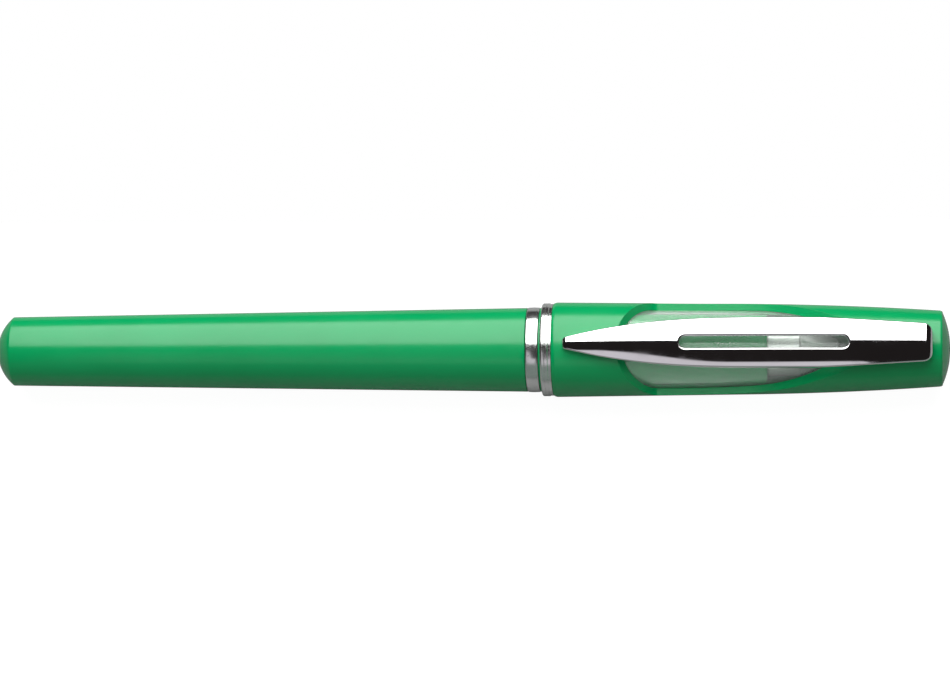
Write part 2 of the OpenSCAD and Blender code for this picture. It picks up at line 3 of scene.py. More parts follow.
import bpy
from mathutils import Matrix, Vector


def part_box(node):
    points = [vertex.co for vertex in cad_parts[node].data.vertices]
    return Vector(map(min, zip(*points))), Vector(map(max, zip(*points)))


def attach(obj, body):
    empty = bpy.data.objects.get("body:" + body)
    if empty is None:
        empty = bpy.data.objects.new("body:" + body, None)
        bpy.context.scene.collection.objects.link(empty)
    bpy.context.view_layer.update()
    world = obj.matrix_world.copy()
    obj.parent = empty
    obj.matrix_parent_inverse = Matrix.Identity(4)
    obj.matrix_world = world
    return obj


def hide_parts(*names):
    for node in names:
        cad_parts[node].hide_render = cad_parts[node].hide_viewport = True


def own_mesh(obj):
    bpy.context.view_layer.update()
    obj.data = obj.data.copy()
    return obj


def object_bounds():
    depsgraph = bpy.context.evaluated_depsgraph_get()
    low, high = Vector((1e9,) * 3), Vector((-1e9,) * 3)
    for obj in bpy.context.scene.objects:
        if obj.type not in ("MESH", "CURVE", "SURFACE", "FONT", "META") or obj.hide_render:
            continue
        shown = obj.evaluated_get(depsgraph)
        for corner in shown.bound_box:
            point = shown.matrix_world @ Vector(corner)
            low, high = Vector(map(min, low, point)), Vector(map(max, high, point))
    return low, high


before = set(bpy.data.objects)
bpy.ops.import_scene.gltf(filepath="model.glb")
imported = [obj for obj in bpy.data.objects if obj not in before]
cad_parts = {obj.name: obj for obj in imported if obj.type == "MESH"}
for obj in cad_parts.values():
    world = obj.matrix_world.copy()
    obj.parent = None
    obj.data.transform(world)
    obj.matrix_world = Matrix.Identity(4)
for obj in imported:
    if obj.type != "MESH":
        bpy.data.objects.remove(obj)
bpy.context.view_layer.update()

from math import acos, asin, cos, degrees, hypot, pi, radians, sin, sqrt, tan

import bpy
from mathutils import Matrix, Vector

scene = bpy.context.scene
scene.view_settings.view_transform = "Standard"


# ---------------------------------------------------------------- camera
# A long lens stands high over the cap's end of the pen and looks along it
# at a slant, from a few degrees on the near side.
camera_data = bpy.data.cameras.new("camera")
camera = bpy.data.objects.new("camera", camera_data)
scene.collection.objects.link(camera)
scene.camera = camera
camera_data.sensor_width = 36
camera_data.lens = 191.2
camera_data.clip_start = 0.01
camera.location = (0.0602, -0.0921, 0.7292)
camera_target = Vector((-0.00874, 0.0, 0.0))
camera_roll = radians(-0.18)
back = (camera.location - camera_target).normalized()
right = (Vector((1, 0, 0)) - back.x * back).normalized()
camera_turn = Matrix((right, back.cross(right), back)).transposed()
camera.rotation_euler = (camera_turn @ Matrix.Rotation(camera_roll, 3, "Z")).to_euler()


# ---------------------------------------------------------------- floor
# White tabletop under the pen, which touches it at the cap's widest ring.
# It shows plain white, and keeps a faint shadow under the pen.
def material_tree(name):
    """An empty material with its nodes, ready for a shader."""
    made = bpy.data.materials.new(name)
    made.use_nodes = True
    made.node_tree.nodes.clear()
    return made, made.node_tree.nodes, made.node_tree.links


def maths(operation, first, second=None, clamp=False):
    """One maths node of the tree in hand; a number or a socket goes in, a socket comes out."""
    node = nodes.new("ShaderNodeMath")
    node.operation = operation
    node.use_clamp = clamp
    for socket, value in zip(node.inputs, (first, second)):
        if isinstance(value, (int, float)):
            socket.default_value = value
        elif value is not None:
            links.new(value, socket)
    return node.outputs[0]


def one_shader(kind, colour):
    """A plain shader of one colour, for the tree in hand."""
    shader = nodes.new(kind)
    shader.inputs["Color"].default_value = (*colour, 1)
    return shader


def picked(share, usual, other):
    """The usual shader, or the other one where the share is 1, for the tree in hand."""
    pick = nodes.new("ShaderNodeMixShader")
    links.new(share, pick.inputs["Fac"])
    links.new(usual, pick.inputs[1])
    links.new(other, pick.inputs[2])
    return pick.outputs[0]


def looked_at():
    """1 for what the camera sees, straight or through clear plastic, and 0 for all other rays."""
    path = nodes.new("ShaderNodeLightPath")
    return maths("MAXIMUM", path.outputs["Is Camera Ray"], path.outputs["Is Transmission Ray"])


floor_gap = 0.00002
floor_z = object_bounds()[0][2] - floor_gap
floor_size = 4
floor_far_y = 0.02
floor_grey = (0.35, 0.35, 0.35)
floor_glow = 0.96
shadow_depth = (0.12, 0.12, 0.12)
bpy.ops.object.select_all(action="DESELECT")
bpy.ops.mesh.primitive_plane_add(
    size=floor_size, location=(0, floor_far_y - floor_size / 2, floor_z))
floor = bpy.context.object
floor.name = "floor"
paper, nodes, links = material_tree("floor_paper")
shown = one_shader("ShaderNodeEmission", (1, 1, 1))
shown.inputs["Strength"].default_value = floor_glow
shadowed = nodes.new("ShaderNodeAddShader")
links.new(shown.outputs[0], shadowed.inputs[0])
links.new(one_shader("ShaderNodeBsdfDiffuse", shadow_depth).outputs[0], shadowed.inputs[1])
surface = picked(looked_at(), one_shader("ShaderNodeBsdfDiffuse", floor_grey).outputs[0],
                 shadowed.outputs[0])
links.new(surface, nodes.new("ShaderNodeOutputMaterial").inputs["Surface"])
floor.data.materials.append(paper)


# ---------------------------------------------------------------- light
# One large soft lamp leans over the far side of the pen, and a weak one hangs
# above it, unseen in the chrome. The room is dark round the camera and a pale
# lilac grey towards the near side.
lamp_tilt = radians(47.8)
lamp_far = 0.7
lamp_data = bpy.data.lights.new("soft_lamp", "AREA")
lamp_data.shape = "RECTANGLE"
lamp_data.size = 0.7
lamp_data.size_y = 1.08
lamp_data.energy = 9.0
lamp = bpy.data.objects.new("soft_lamp", lamp_data)
scene.collection.objects.link(lamp)
lamp.location = (-0.05, lamp_far * sin(lamp_tilt), lamp_far * cos(lamp_tilt))
lamp.rotation_euler = (-lamp_tilt, 0, 0)

fill_data = bpy.data.lights.new("overhead_fill", "AREA")
fill_data.size = 0.3
fill_data.energy = 0.65
fill = bpy.data.objects.new("overhead_fill", fill_data)
fill.visible_glossy = False
scene.collection.objects.link(fill)
fill.location = (0, 0, 0.6)

world = bpy.data.worlds.new("room")
scene.world = world
world.use_nodes = True
nodes, links = world.node_tree.nodes, world.node_tree.links
nodes.clear()


def ramp(value, start, stop, low, high, smooth=False):
    """Carries a value from start..stop onto low..high, for the tree in hand."""
    node = nodes.new("ShaderNodeMapRange")
    node.interpolation_type = "SMOOTHSTEP" if smooth else "LINEAR"
    for socket, number in zip(node.inputs[1:5], (start, stop, low, high)):
        socket.default_value = number
    links.new(value, node.inputs[0])
    return node.outputs[0]


def blended(share, first, second):
    """A colour that goes from the first to the second; each is a colour or a socket."""
    blend = nodes.new("ShaderNodeMix")
    blend.data_type = "RGBA"
    links.new(share, blend.inputs["Factor"])
    for socket, colour in zip((blend.inputs["A"], blend.inputs["B"]), (first, second)):
        if isinstance(colour, tuple):
            socket.default_value = (*colour, 1)
        else:
            links.new(colour, socket)
    return blend.outputs["Result"]


room_dark = (0.014, 0.012, 0.012)
room_lilac = (0.64, 0.61, 0.65)
room_low = (0.20, 0.24, 0.22)
edge_fade = radians(2.5)
split = nodes.new("ShaderNodeSeparateXYZ")
links.new(nodes.new("ShaderNodeTexCoord").outputs["Generated"], split.inputs[0])
along = split.outputs["X"]
lean = maths("ARCTAN2", split.outputs["Y"], split.outputs["Z"])

# The dark reaches down to this lean on the near side: further at both ends of the pen.
middle_edge = ramp(along, -0.19, -0.06, radians(-7), radians(-30), smooth=True)
right_edge = ramp(along, 0.06, 0.11, 0, radians(-55), smooth=True)
left_edge = ramp(along, -0.3, -0.24, radians(-80), 0, smooth=True)
near_edge = maths("ADD", maths("ADD", middle_edge, right_edge), left_edge)
past_edge = maths("DIVIDE", maths("SUBTRACT", near_edge, lean), edge_fade, clamp=True)
near_horizon = ramp(lean, radians(-41), radians(-50), 0, 1, smooth=True)
room = nodes.new("ShaderNodeBackground")
room_colour = blended(near_horizon, blended(past_edge, room_dark, room_lilac), room_low)
links.new(room_colour, room.inputs["Color"])
white = one_shader("ShaderNodeBackground", (1, 1, 1))
surface = picked(looked_at(), room.outputs[0], white.outputs[0])
links.new(surface, nodes.new("ShaderNodeOutputWorld").inputs["Surface"])


# ---------------------------------------------------------------- barrel
# Long tapered shell of satin green plastic, moulded in one piece with its
# domed closed end. Its mouth has a plain stepped bore that takes the grip section's thread.
MM = 0.001
gloss_finer = 9
smooth_below = 35


def noise(scale, detail=3.0, stretch=(1, 1, 1)):
    """Noise on the piece's own coordinates, for the tree in hand."""
    place = nodes.new("ShaderNodeTexCoord")
    fit = nodes.new("ShaderNodeMapping")
    fit.inputs["Scale"].default_value = stretch
    grain = nodes.new("ShaderNodeTexNoise")
    grain.inputs["Scale"].default_value = scale
    grain.inputs["Detail"].default_value = detail
    links.new(place.outputs["Object"], fit.inputs["Vector"])
    links.new(fit.outputs["Vector"], grain.inputs["Vector"])
    return grain.outputs["Fac"]


def spread(value, low, high):
    """Carries a noise value, which keeps near its middle, onto a range of its own."""
    return ramp(value, 0.35, 0.65, low, high)


def raised(height, tall, under=None):
    """Adds one layer of fine relief, tall metres high, to the surface."""
    node = nodes.new("ShaderNodeBump")
    node.inputs["Distance"].default_value = tall
    links.new(height, node.inputs["Height"])
    if under is not None:
        links.new(under, node.inputs["Normal"])
    return node.outputs[0]


def finish(name, colour, shade, rough, clouds=60, grain=(4000, 2e-6), lines=None,
           lamps_pass=None, **sockets):
    """A surface with drifting colour and gloss, fine grain and, if asked for, long fine lines.
    lamps_pass is the share of lamp and room light that goes straight through a clear wall."""
    global nodes, links
    made, nodes, links = material_tree(name)
    shader = nodes.new("ShaderNodeBsdfPrincipled")
    for socket, value in sockets.items():
        shader.inputs[socket.replace("_", " ")].default_value = value
    drift = blended(spread(noise(clouds, 4.0), 0, 1), colour, shade)
    links.new(drift, shader.inputs["Base Color"])
    links.new(spread(noise(clouds * gloss_finer, 5.0), *rough), shader.inputs["Roughness"])
    relief = raised(noise(grain[0]), grain[1])
    if lines:
        relief = raised(noise(lines[0], 2.0, lines[1]), lines[2], relief)
    links.new(relief, shader.inputs["Normal"])
    surface = shader.outputs[0]
    if lamps_pass:
        passing = one_shader("ShaderNodeBsdfTransparent", (lamps_pass, lamps_pass, lamps_pass))
        path = nodes.new("ShaderNodeLightPath")
        surface = picked(path.outputs["Is Shadow Ray"], surface, passing.outputs[0])
    links.new(surface, nodes.new("ShaderNodeOutputMaterial").inputs["Surface"])
    return made


def arc(centre_x, centre_r, radius, start, stop, steps=8):
    """Points of an arc in the (x, radius) half plane, angles in degrees from +X."""
    turns = [radians(start + (stop - start) * i / steps) for i in range(steps + 1)]
    return [(centre_x + radius * cos(a), centre_r + radius * sin(a)) for a in turns]


def activate(piece):
    """Leaves one piece alone selected and active."""
    bpy.ops.object.select_all(action="DESELECT")
    piece.select_set(True)
    bpy.context.view_layer.objects.active = piece


def edged(piece, width, segments=3, angle=smooth_below):
    """Rounds the sharp edges by width in mm and shades the rest smooth."""
    activate(piece)
    bevel = piece.modifiers.new("edges", "BEVEL")
    bevel.width = width * MM
    bevel.segments = segments
    bevel.angle_limit = radians(angle)
    bevel.harden_normals = False
    bpy.ops.object.modifier_apply(modifier="edges")
    bpy.ops.object.shade_smooth_by_angle(angle=radians(angle))


def turned(name, outline, sides=128, edge=0.0):
    """Draws an outline of (x, radius) in mm out of one point and spins it about the axis."""
    bpy.ops.object.select_all(action="DESELECT")
    start_x, start_r = outline[0]
    bpy.ops.mesh.primitive_plane_add(size=MM, location=(start_x * MM, 0, start_r * MM))
    piece = bpy.context.object
    piece.name = name
    bpy.ops.object.mode_set(mode="EDIT")
    bpy.ops.mesh.select_mode(type="VERT")
    bpy.ops.mesh.merge(type="CENTER")
    for here, there in zip(outline, outline[1:]):
        step = ((there[0] - here[0]) * MM, 0, (there[1] - here[1]) * MM)
        bpy.ops.mesh.extrude_region_move(TRANSFORM_OT_translate={"value": step})
    bpy.ops.mesh.select_all(action="SELECT")
    bpy.ops.mesh.spin(steps=sides, angle=2 * pi, center=(0, 0, 0), axis=(1, 0, 0))
    bpy.ops.mesh.select_all(action="SELECT")
    bpy.ops.mesh.remove_doubles(threshold=1e-6)
    bpy.ops.mesh.normals_make_consistent(inside=False)
    bpy.ops.object.mode_set(mode="OBJECT")
    bpy.ops.object.transform_apply(location=True, rotation=True, scale=True)
    if edge:
        edged(piece, edge)
    else:
        bpy.ops.object.shade_smooth_by_angle(angle=radians(smooth_below))
    return piece


def fitted(piece, material, body, slot, *nodes_replaced):
    """Gives a finished piece its surface and its body, and hides the CAD nodes it stands for. The
    slot is not used.
    """
    piece.data.materials.clear()
    piece.data.materials.append(material)
    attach(piece, body)
    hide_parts(*nodes_replaced)


def reach(node):
    """(rear x, front x, largest radius) of a round CAD node, in mm."""
    low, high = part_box(node)
    return low[0] / MM, high[0] / MM, high[2] / MM


green_light = (0.0, 0.375, 0.112)
green_deep = (0.0, 0.345, 0.100)
green_plastic = finish("satin_green_plastic", green_light, green_deep, (0.20, 0.26),
                       grain=(900, 4e-7), Specular_IOR_Level=0.52)

barrel_rear_r = 5.05
barrel_dome_r = 6.5
barrel_wall = 1.1
barrel_floor = 1.7
barrel_edge = 0.1
thread_room = 11.95
thread_bore = 4.65
bore_step = 0.15
apex_x, barrel_mouth_x, barrel_mouth_r = reach("barrel")
dome_edge = asin(barrel_rear_r / barrel_dome_r)
rim_x = apex_x + barrel_dome_r * (1 - cos(dome_edge))
floor_x = rim_x + barrel_floor
flank = [(rim_x + (barrel_mouth_x - rim_x) * share,
          barrel_rear_r + (barrel_mouth_r - barrel_rear_r) * share)
         for share in (0.25, 0.5, 0.75, 0.99, 1)]
dome = arc(apex_x + barrel_dome_r, 0, barrel_dome_r, 180, 180 - degrees(dome_edge), 14)
barrel = turned("barrel_shell", dome + flank + [
    (barrel_mouth_x, thread_bore),
    (barrel_mouth_x - thread_room, thread_bore),
    (barrel_mouth_x - thread_room, thread_bore - bore_step),
    (floor_x, barrel_rear_r - barrel_wall),
    (floor_x, 0)], edge=barrel_edge)
fitted(barrel, green_plastic, "rear", "body_green", "barrel")


# ---------------------------------------------------------------- centre band
# Plated brass ring, pressed on between barrel and grip. It was turned on a
# lathe: its edges are rounded and fine rings from the tool run round it.
turning_lines = (3000, (1, 0.015, 0.015), 6e-6)
satin_chrome = finish("satin_chrome", (0.84, 0.85, 0.84), (0.72, 0.73, 0.72), (0.15, 0.24),
                      clouds=420, grain=(3200, 4e-7), lines=turning_lines, Metallic=0.98)

band_rear_x, band_front_x, band_r = reach("centre_band")
band_bore = 4.65
band_round = 0.2
band_crown = 0.03
band_mid_x = (band_rear_x + band_front_x) / 2
band_round_r = band_r - band_crown - band_round
band = turned("centre_band_ring",
              [(band_rear_x, band_bore)]
              + arc(band_rear_x + band_round, band_round_r, band_round, 180, 90, 6)
              + [(band_mid_x, band_r)]
              + arc(band_front_x - band_round, band_round_r, band_round, 90, 0, 6)
              + [(band_front_x, band_bore), (band_rear_x, band_bore)])
fitted(band, satin_chrome, "band", "satin_chrome", "centre_band")


# ---------------------------------------------------------------- spring
# Cold-wound steel wire with two closed end turns. It stands on the barrel's
# floor and presses the refill forward.
def sheet_of(name, rows, columns, place):
    """A grid primitive whose point in row i and column j is set where place(i, j) says, in mm."""
    bpy.ops.object.select_all(action="DESELECT")
    bpy.ops.mesh.primitive_grid_add(x_subdivisions=columns - 1, y_subdivisions=rows - 1, size=1)
    piece = bpy.context.object
    piece.name = name
    for point in piece.data.vertices:
        i = round((point.co.y + 0.5) * (rows - 1))
        j = round((point.co.x + 0.5) * (columns - 1))
        point.co = Vector(place(i, j)) * MM
    return piece


def welded(pieces, name, angle=smooth_below):
    """Joins patches into one skin, closes what stays open and turns its faces outwards."""
    activate(pieces[0])
    for piece in pieces:
        piece.select_set(True)
    if len(pieces) > 1:
        bpy.ops.object.join()
    piece = bpy.context.object
    piece.name = name
    bpy.ops.object.mode_set(mode="EDIT")
    bpy.ops.mesh.select_all(action="SELECT")
    bpy.ops.mesh.remove_doubles(threshold=1e-6)
    bpy.ops.mesh.dissolve_degenerate(threshold=1e-7)
    bpy.ops.mesh.select_mode(type="EDGE")
    bpy.ops.mesh.select_all(action="DESELECT")
    bpy.ops.mesh.select_non_manifold()
    bpy.ops.mesh.edge_face_add()
    bpy.ops.mesh.select_all(action="SELECT")
    bpy.ops.mesh.normals_make_consistent(inside=False)
    bpy.ops.object.mode_set(mode="OBJECT")
    bpy.ops.object.shade_smooth_by_angle(angle=radians(angle))
    return piece


spring_steel = finish("drawn_spring_wire", (0.56, 0.55, 0.54), (0.42, 0.41, 0.40), (0.22, 0.34),
                      clouds=500, grain=(5000, 8e-7), lines=(4200, (0.2, 1, 1), 6e-7), Metallic=1.0)

wire_r = 0.25
spring_turns = 8
per_turn = 40
wire_sides = 14
wire_smooth = 60
spring_low, spring_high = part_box("refill_spring")
coil_rear_x = spring_low[0] / MM + wire_r
coil_front_x = spring_high[0] / MM - wire_r
coil_r = spring_high[1] / MM - wire_r
closed_pitch = 2.2 * wire_r
open_pitch = (coil_front_x - coil_rear_x - 2 * closed_pitch) / (spring_turns - 2)


def coil_x(turn):
    """Place along the axis of the wire's middle after so many turns."""
    if turn < 1:
        return coil_rear_x + closed_pitch * turn
    if turn > spring_turns - 1:
        return coil_front_x - closed_pitch * (spring_turns - turn)
    return coil_rear_x + closed_pitch + open_pitch * (turn - 1)


def wire_point(i, j):
    """Point i of the way along the wire, point j round it."""
    turn = i / per_turn
    round_wire = 2 * pi * (j % wire_sides) / wire_sides
    radius = coil_r + wire_r * cos(round_wire)
    return (coil_x(turn) + wire_r * sin(round_wire),
            radius * cos(2 * pi * turn), radius * sin(2 * pi * turn))


spring = welded([sheet_of("wire", spring_turns * per_turn + 1, wire_sides + 1, wire_point)],
                "refill_coil_spring", wire_smooth)
fitted(spring, spring_steel, "rear", "spring_steel", "refill_spring")
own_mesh(spring)


# ---------------------------------------------------------------- grip section
# The part that the hand holds: green plastic, with a flange against the band,
# a groove that the cap clicks into and a coarse thread behind the flange.
def run(x, x0, a, x1, b):
    """Value on a straight line from a at x0 to b at x1."""
    return a + (b - a) * (x - x0) / (x1 - x0)


thread_pitch = 1.0
thread_depth = 0.25
thread_fade = 0.4
thread_steps = 14
tooth_middle = 0.5
tooth_swing = 0.9
spigot_r = 4.6
spigot_bore = 3.15
spigot_bevel = 0.15
shoulder = 0.3
flange_t = 0.2
flange_r = 6.15
flange_edge = 0.04
flange_fillet = 0.1
grip_rear_r = 5.25
grip_front_r = 5.0
grip_round = 0.5
grip_rows = 8
cone_seat_r = 2.92
cone_seat_len = 4.4
cone_seat_bevel = 0.1
section_sides = 96
section_smooth = 30
click_x = band_front_x + 1.85
click_half = 0.5
click_slope = 0.1
click_depth = 0.2
spigot_end_x, section_front_x, _ = reach("grip_section")
flange_x = band_front_x + 0.05
grip_x = flange_x + 2.85
flange_end_x = flange_x + flange_t
thread_start_x = spigot_end_x + 0.4
thread_end_x = flange_x - 1.6
root_r = spigot_r - thread_depth
ledge_x = section_front_x - cone_seat_len


def thread_r(x, angle):
    """Radius of the rounded right-hand thread, which fades out at both its ends."""
    tooth = tooth_middle + tooth_swing * cos(2 * pi * x / thread_pitch - angle)
    fade = max(0, min(1, (x - thread_start_x) / thread_fade, (thread_end_x - x) / thread_fade))
    return root_r + thread_depth * max(0, min(1, tooth)) * fade


thread_rows = round((thread_end_x - thread_start_x) / thread_pitch * thread_steps)
section_outline = (
    [(spigot_end_x, spigot_bore), (spigot_end_x, root_r - spigot_bevel),
     (spigot_end_x + spigot_bevel, root_r)]
    + [(run(i, 0, thread_start_x, thread_rows, thread_end_x), None) for i in range(thread_rows + 1)]
    + [(flange_x - shoulder, root_r), (flange_x, spigot_r),
       (flange_x, flange_r - flange_edge), (flange_x + flange_edge, flange_r),
       (flange_end_x - flange_edge, flange_r), (flange_end_x, flange_r - flange_edge),
       (flange_end_x, grip_rear_r + flange_fillet), (flange_end_x + flange_fillet, grip_rear_r),
       (click_x - click_half, grip_rear_r),
       (click_x - click_half + click_slope, grip_rear_r - click_depth),
       (click_x + click_half - click_slope, grip_rear_r - click_depth),
       (click_x + click_half, grip_rear_r)]
    + [(run(i, 0, grip_x, grip_rows, section_front_x - grip_round),
        run(i, 0, grip_rear_r, grip_rows, grip_front_r)) for i in range(grip_rows)]
    + arc(section_front_x - grip_round, grip_front_r - grip_round, grip_round, 90, 0, 8)
    + [(section_front_x, cone_seat_r + cone_seat_bevel),
       (section_front_x - cone_seat_bevel, cone_seat_r),
       (ledge_x, cone_seat_r), (ledge_x, spigot_bore), (spigot_end_x, spigot_bore)])


def section_point(i, j):
    """Point i of the outline, turned to side j."""
    x, radius = section_outline[i]
    angle = 2 * pi * (j % section_sides) / section_sides
    if radius is None:
        radius = thread_r(x, angle)
    return x, radius * cos(angle), radius * sin(angle)


section = welded([sheet_of("skin", len(section_outline), section_sides + 1, section_point)],
                 "threaded_grip_section", section_smooth)
fitted(section, green_plastic, "grip", "body_green", "grip_section")


# ---------------------------------------------------------------- nose
# Turned, polished metal collar and cone. The cone's tail is pressed through
# the collar into the section, and the refill's tip comes out of its mouth.
def surfaced(node, material):
    """Gives a CAD node that stays in view its finished surface."""
    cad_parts[node].data.materials[0] = material


nose_silver = finish("turned_silver_metal", (0.93, 0.93, 0.92), (0.87, 0.87, 0.86),
                     (0.15, 0.21), clouds=400, grain=(2200, 2e-7),
                     lines=(1800, (1, 0.02, 0.02), 8e-7), Metallic=0.5)
surfaced("nose_collar", nose_silver)
surfaced("nose_cone", nose_silver)


# ---------------------------------------------------------------- refill
# Rollerball refill: a drawn plastic tube with an inked fibre rod in it, a
# black plug and nose at its ends, and a turned steel tip that holds the ball.
refill_white = finish("white_refill_tube", (0.80, 0.79, 0.76), (0.72, 0.71, 0.67), (0.18, 0.30),
                      clouds=120, grain=(3800, 8e-7), lines=(1500, (0.05, 1, 1), 8e-7))
refill_black = finish("black_moulded_nose", (0.030, 0.030, 0.032), (0.018, 0.018, 0.020),
                      (0.30, 0.42), clouds=260, grain=(3000, 2e-6))
inked_fibre = finish("inked_fibre", (0.03, 0.04, 0.20), (0.015, 0.02, 0.11), (0.65, 0.85),
                     clouds=300, grain=(2400, 8e-6), lines=(5200, (0.04, 1, 1), 1e-5),
                     Sheen_Weight=0.2)
tip_steel = finish("turned_tip_steel", (0.66, 0.64, 0.60), (0.54, 0.52, 0.48), (0.14, 0.24),
                   clouds=900, grain=(9000, 2e-7), lines=(9000, (1, 0.03, 0.03), 1.2e-6),
                   Metallic=1.0)
ball_carbide = finish("ground_ball", (0.60, 0.60, 0.62), (0.48, 0.48, 0.50), (0.10, 0.22),
                      clouds=2600, grain=(16000, 1.5e-7), Metallic=1.0)
surfaced("refill_tube", refill_white)
surfaced("refill_plug", refill_black)
surfaced("refill_nose", refill_black)
surfaced("ink_reservoir", inked_fibre)
surfaced("feed_wick", inked_fibre)
surfaced("tip_socket", tip_steel)
surfaced("writing_ball", ball_carbide)


# ---------------------------------------------------------------- lip ring and click ring
# Plated ring on the cap's lip, with a rounded front, a fine groove and a lower
# rim behind it. The split spring-steel ring inside it clicks onto the section.
lip_x, lip_end_x, lip_r = reach("cap_ring")
lip_bore_r = 5.55
lip_wall = 0.5
lip_seat_r = 6.37
lip_edge = 0.25
rim_len = 0.5
rim_step = 0.08
lip_groove = 0.05
lip_groove_x = lip_x + 0.62
rim_front_x = lip_end_x - rim_len
lip_ring = turned("cap_lip_ring",
                  [(lip_x + lip_wall, lip_bore_r), (lip_x, lip_bore_r)]
                  + arc(lip_x + lip_edge, lip_r - lip_edge, lip_edge, 180, 90, 6)
                  + [(lip_groove_x - lip_groove, lip_r), (lip_groove_x, lip_r - lip_groove),
                     (lip_groove_x + lip_groove, lip_r),
                     (rim_front_x - rim_step, lip_r), (rim_front_x, lip_r - rim_step),
                     (lip_end_x - rim_step, lip_r - rim_step), (lip_end_x, lip_r - 2 * rim_step),
                     (lip_end_x, lip_seat_r), (lip_x + lip_wall, lip_seat_r),
                     (lip_x + lip_wall, lip_bore_r)])
fitted(lip_ring, satin_chrome, "cap", "satin_chrome", "cap_ring")
surfaced("click_ring", spring_steel)


# ---------------------------------------------------------------- inner cap and seal
# Clear moulded liner that closes round the nose and shows in the cap's window,
# with a soft rubber pad at its end that keeps the ball from drying.
clear_plastic = finish("clear_polished_plastic", (0.82, 0.86, 0.83), (0.78, 0.82, 0.79),
                       (0.03, 0.06), clouds=90, grain=(500, 4e-7),
                       lines=(500, (0.04, 1, 1), 5e-7), lamps_pass=0.7,
                       Transmission_Weight=0.88, IOR=1.47)
seal_rubber = finish("soft_seal_rubber", (0.74, 0.74, 0.72), (0.64, 0.64, 0.61), (0.55, 0.70),
                     clouds=300, grain=(2600, 5e-6))
surfaced("inner_cap", clear_plastic)
surfaced("tip_seal", seal_rubber)


# ---------------------------------------------------------------- cap shell
# The cap is one satin green moulding. A deep window is scooped out of its top
# as if by a long cutter, which leaves polished walls round the clear inner cap.
# The small nub in the middle of its closed end is where the mould was filled.
cap_mouth_r = 6.91
cap_waist_r = 6.6
cap_curve_len = 28
cap_tail_r = 5.5
cap_dome_r = 13
cap_round = 0.35
cap_edge = 0.1
cap_wall = 0.95
end_wall = 1.5
shell_spigot_r = 6.35
shell_spigot_len = 1.15
shell_edge_r = 1.2
shell_edge_from = 120
lip_gap = 0.02
liner_front_r = 5.84
liner_nose_r = 5.59
clip_inset = 1.45
cap_mouth_x = lip_end_x + lip_gap
cap_corner_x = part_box("clip")[1][0] / MM + clip_inset
bore_end_x = cap_corner_x - end_wall


def cap_r(x):
    """Radius of the cap's outline at x: a straight taper, then a slow curve inwards."""
    curve_x = cap_corner_x - cap_curve_len
    straight = run(x, cap_mouth_x, cap_mouth_r, curve_x, cap_waist_r)
    corner = run(cap_corner_x, cap_mouth_x, cap_mouth_r, curve_x, cap_waist_r)
    return straight - (corner - cap_tail_r) * (max(0, x - curve_x) / cap_curve_len) ** 2


def bore_r(x):
    """Radius of the bore that holds the clear inner cap."""
    if x < section_front_x:
        return run(x, grip_x, liner_front_r, section_front_x, liner_nose_r)
    return run(x, section_front_x, liner_nose_r, bore_end_x, cap_r(bore_end_x) - cap_wall)


window_from = 9.3
window_low = 0.2
window_level = 4.6
window_ramp = radians(51)
window_sweep = radians(18.8)
ramp_round = 1.25
hollow_r = 46.5
straight_len = 2.75
crown_r = 51
ramp_top_x = cap_mouth_x + window_from
ramp_foot_x = ramp_top_x + (cap_r(ramp_top_x) - window_low) / tan(window_ramp)
level_x = ramp_foot_x + ramp_round * tan(window_ramp / 2)
ramp_end_x = level_x - ramp_round * sin(window_ramp)
hollow_x = level_x + window_level
hollow_end_x = hollow_x + hollow_r * sin(window_sweep)
hollow_end_z = window_low + hollow_r * (1 - cos(window_sweep))
crown_start_x = hollow_end_x + straight_len * cos(window_sweep)
crown_start_z = hollow_end_z + straight_len * sin(window_sweep)
crown_x = crown_start_x + crown_r * sin(window_sweep)
crown_z = crown_start_z - crown_r * cos(window_sweep)


def window_z(x):
    """Height of the window's floor at x: ramp, corner, level, hollow, slope and crown."""
    if x < ramp_end_x:
        return window_low + (ramp_foot_x - x) * tan(window_ramp)
    if x < level_x:
        return window_low + ramp_round - sqrt(ramp_round ** 2 - (level_x - x) ** 2)
    if x < hollow_x:
        return window_low
    if x < hollow_end_x:
        return window_low + hollow_r - sqrt(hollow_r ** 2 - (x - hollow_x) ** 2)
    if x < crown_start_x:
        return hollow_end_z + (x - hollow_end_x) * tan(window_sweep)
    return crown_z + sqrt(crown_r ** 2 - (x - crown_x) ** 2)


def crossing(radius, a, b):
    """Where the window's floor passes the radius between a and b, found by halving."""
    sign = 1 if window_z(a) > radius(a) else -1
    for _ in range(50):
        middle = (a + b) / 2
        if (window_z(middle) - radius(middle)) * sign > 0:
            a = middle
        else:
            b = middle
    return (a + b) / 2


def eased(a, b, steps):
    """Values from a to b that crowd at both ends."""
    return [a + (b - a) * (1 - cos(pi * i / steps)) / 2 for i in range(steps + 1)]


ramp_from_x = cap_mouth_x + 2
crown_to_x = crown_x - 4
window_stops = [crossing(cap_r, ramp_from_x, level_x), crossing(bore_r, ramp_from_x, level_x),
                level_x, hollow_x, crown_start_x,
                crossing(bore_r, hollow_x, crown_to_x), crossing(cap_r, hollow_x, crown_to_x)]
window_rows = (10, 18, 8, 30, 18, 18)
tail_rows = 8
edge_x = cap_mouth_x - shell_edge_r * cos(radians(shell_edge_from))
shell_x = [edge_x, edge_x + 2, edge_x + 5]
for a, b, steps in zip(window_stops, window_stops[1:], window_rows):
    shell_x += eased(a, b, steps)[:-1]
shell_x += eased(window_stops[-1], cap_corner_x - cap_round, tail_rows)
bore_x = [x for x in shell_x if x < bore_end_x]
cut_x = [x for x in shell_x if window_stops[0] - 1e-6 <= x <= window_stops[-1] + 1e-6]
shell_columns = 121
cut_columns = 4


